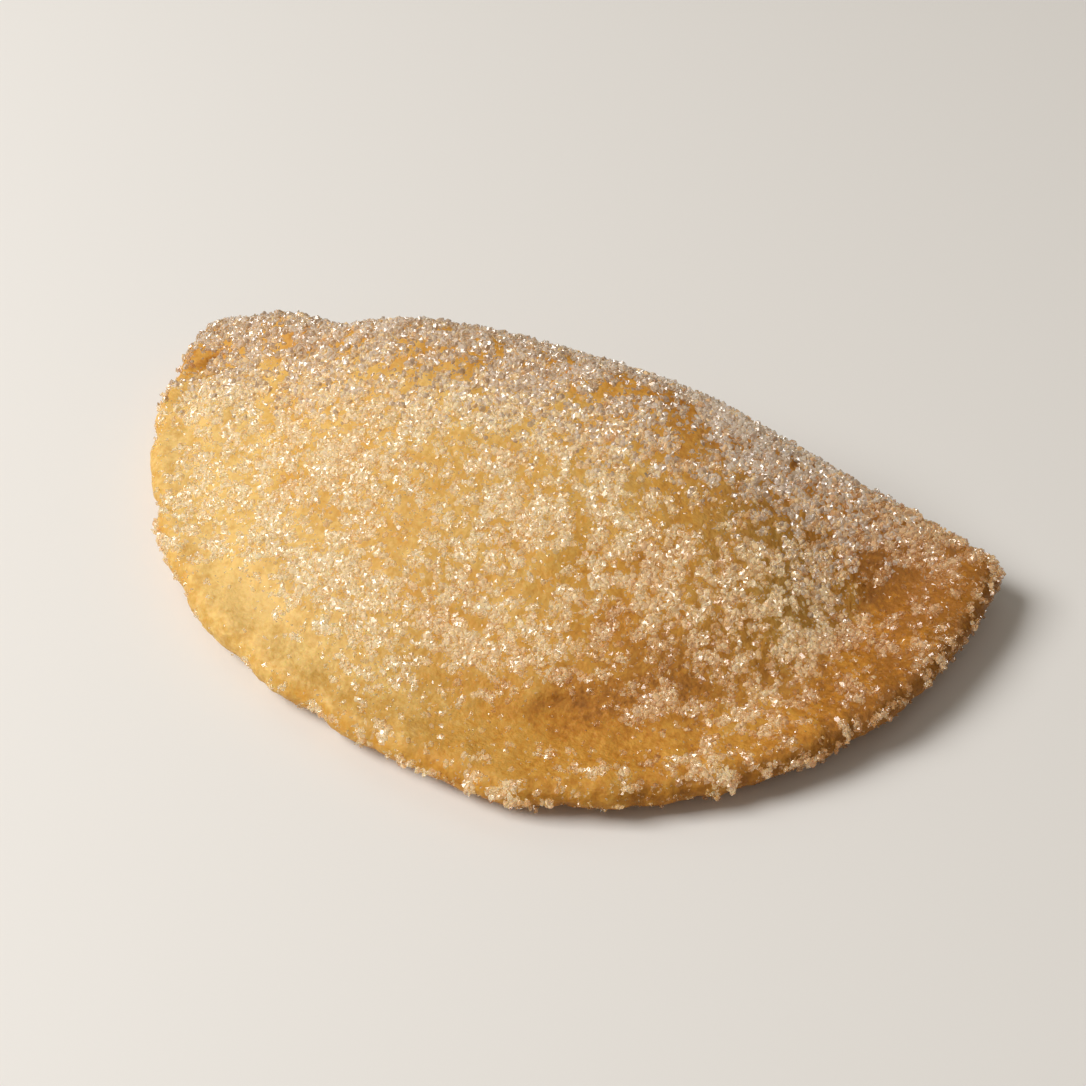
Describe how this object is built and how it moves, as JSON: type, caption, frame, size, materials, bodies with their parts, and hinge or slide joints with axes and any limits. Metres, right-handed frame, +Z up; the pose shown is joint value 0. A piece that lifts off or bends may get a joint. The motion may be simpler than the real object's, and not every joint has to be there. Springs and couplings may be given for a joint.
{
  "type": "empanada",
  "caption": "Half-moon sweet empanada: a folded round of golden baked dough with a rounded fold, a domed body and a thin uneven sealed rim, coated all over in granulated sugar.",
  "frame": {"origin": "on the surface that it rests on, under the middle of its box", "axes": "+X along the fold, to the pointed thin end; +Y towards the folded side; +Z up"},
  "size_m": [0.14, 0.0784, 0.0258],
  "materials": {
    "pastry": "matt golden baked dough, browner in the creases and along the thin rim",
    "sugar": "sparkling, slightly see-through crystals of granulated sugar"
  },
  "bodies": {
    "root": {"empanada": "pastry"}
  },
  "joints": []
}
